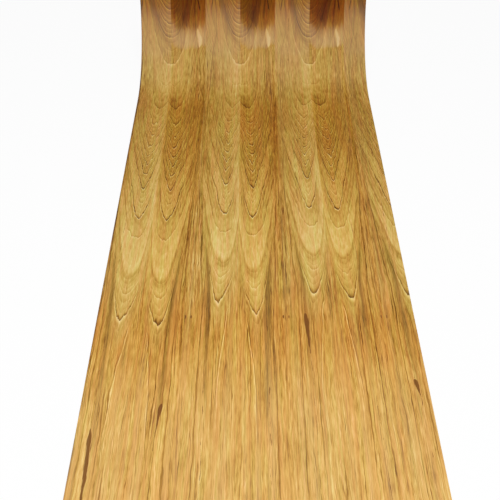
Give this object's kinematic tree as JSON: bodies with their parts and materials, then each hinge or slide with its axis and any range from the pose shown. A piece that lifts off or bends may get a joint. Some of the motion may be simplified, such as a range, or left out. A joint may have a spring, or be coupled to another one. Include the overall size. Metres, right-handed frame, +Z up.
{
  "type": "wood veneer sheet",
  "caption": "Long, thin sheet of book-matched teak veneer leaves joined edge to edge, lying face up with its far end curled upward, for facing panels and furniture.",
  "frame": {"origin": "middle of the bounding box, on the flat underside that lies on the floor", "axes": "+X across the leaves, +Y along the grain towards the curled end, +Z up, out of the show face"},
  "size_m": [0.6096, 2.3678, 0.1651],
  "materials": {
    "teak_pale_leaf": "sliced, unsanded teak with a low natural sheen, on the leaves that show the pale side of the book match",
    "teak_golden_leaf": "sliced, unsanded teak with a low natural sheen, on the turned leaves that show the golden side of the book match"
  },
  "bodies": {
    "root": {"leaf_1": "teak_pale_leaf", "leaf_2": "teak_golden_leaf", "leaf_3": "teak_pale_leaf", "leaf_4": "teak_golden_leaf", "leaf_5": "teak_pale_leaf", "leaf_6": "teak_golden_leaf", "leaf_7": "teak_pale_leaf"}
  },
  "joints": []
}
